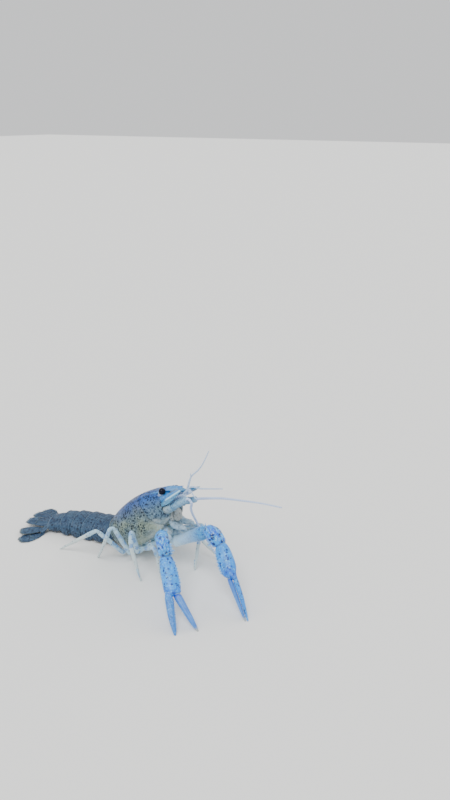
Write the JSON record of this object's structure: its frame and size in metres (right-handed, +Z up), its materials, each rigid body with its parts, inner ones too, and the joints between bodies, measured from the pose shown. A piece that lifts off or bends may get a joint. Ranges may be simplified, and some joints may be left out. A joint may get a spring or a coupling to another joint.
{
  "type": "crayfish model",
  "caption": "Still life-size crayfish model in bright blue, standing on its claw tips, leg tips and tail fan with the head raised.",
  "frame": {"origin": "centre of the bounding box on the floor plane, under the thorax", "axes": "+X is the way the animal faces, +Y is its left side, +Z is up"},
  "size_m": [0.1167, 0.0587, 0.0475],
  "materials": {
    "shell": "semi-gloss mottled slate blue shell",
    "head": "semi-gloss light blue shell",
    "claw": "semi-gloss bright blue shell with darker spots",
    "finger": "semi-gloss deep blue",
    "leg": "semi-gloss pale blue",
    "tail": "semi-gloss mottled dark blue shell",
    "feeler": "semi-gloss pale lilac blue",
    "eye": "glossy black"
  },
  "bodies": {
    "root": {"abdomen_1": "tail", "abdomen_2": "tail", "abdomen_3": "tail", "abdomen_4": "tail", "abdomen_5": "tail", "abdomen_6": "tail", "antenna_base_left": "feeler", "antenna_base_right": "feeler", "antenna_left_inner": "feeler", "antenna_left_outer": "feeler", "antenna_right_inner": "feeler", "antenna_right_outer": "feeler", "antennal_scale_left": "head", "antennal_scale_right": "head", "antennule_left": "feeler", "antennule_right": "feeler", "cheliped_left_arm": "claw", "cheliped_left_finger": "finger", "cheliped_left_palm": "claw", "cheliped_left_wrist": "claw", "cheliped_right_arm": "claw", "cheliped_right_finger": "finger", "cheliped_right_palm": "claw", "cheliped_right_wrist": "claw", "eye_left": "eye", "eye_right": "eye", "head_carapace": "head", "leg_left_2_lower": "leg", "leg_left_2_upper": "leg", "leg_left_3_lower": "leg", "leg_left_3_upper": "leg", "leg_left_4_lower": "leg", "leg_left_4_upper": "leg", "leg_left_5_lower": "leg", "leg_left_5_upper": "leg", "leg_right_2_lower": "leg", "leg_right_2_upper": "leg", "leg_right_3_lower": "leg", "leg_right_3_upper": "leg", "leg_right_4_lower": "leg", "leg_right_4_upper": "leg", "leg_right_5_lower": "leg", "leg_right_5_upper": "leg", "maxilliped_left": "leg", "maxilliped_right": "leg", "mouth": "head", "telson": "tail", "thorax_carapace": "shell", "uropod_left_inner": "tail", "uropod_left_outer": "tail", "uropod_right_inner": "tail", "uropod_right_outer": "tail"}
  },
  "joints": []
}
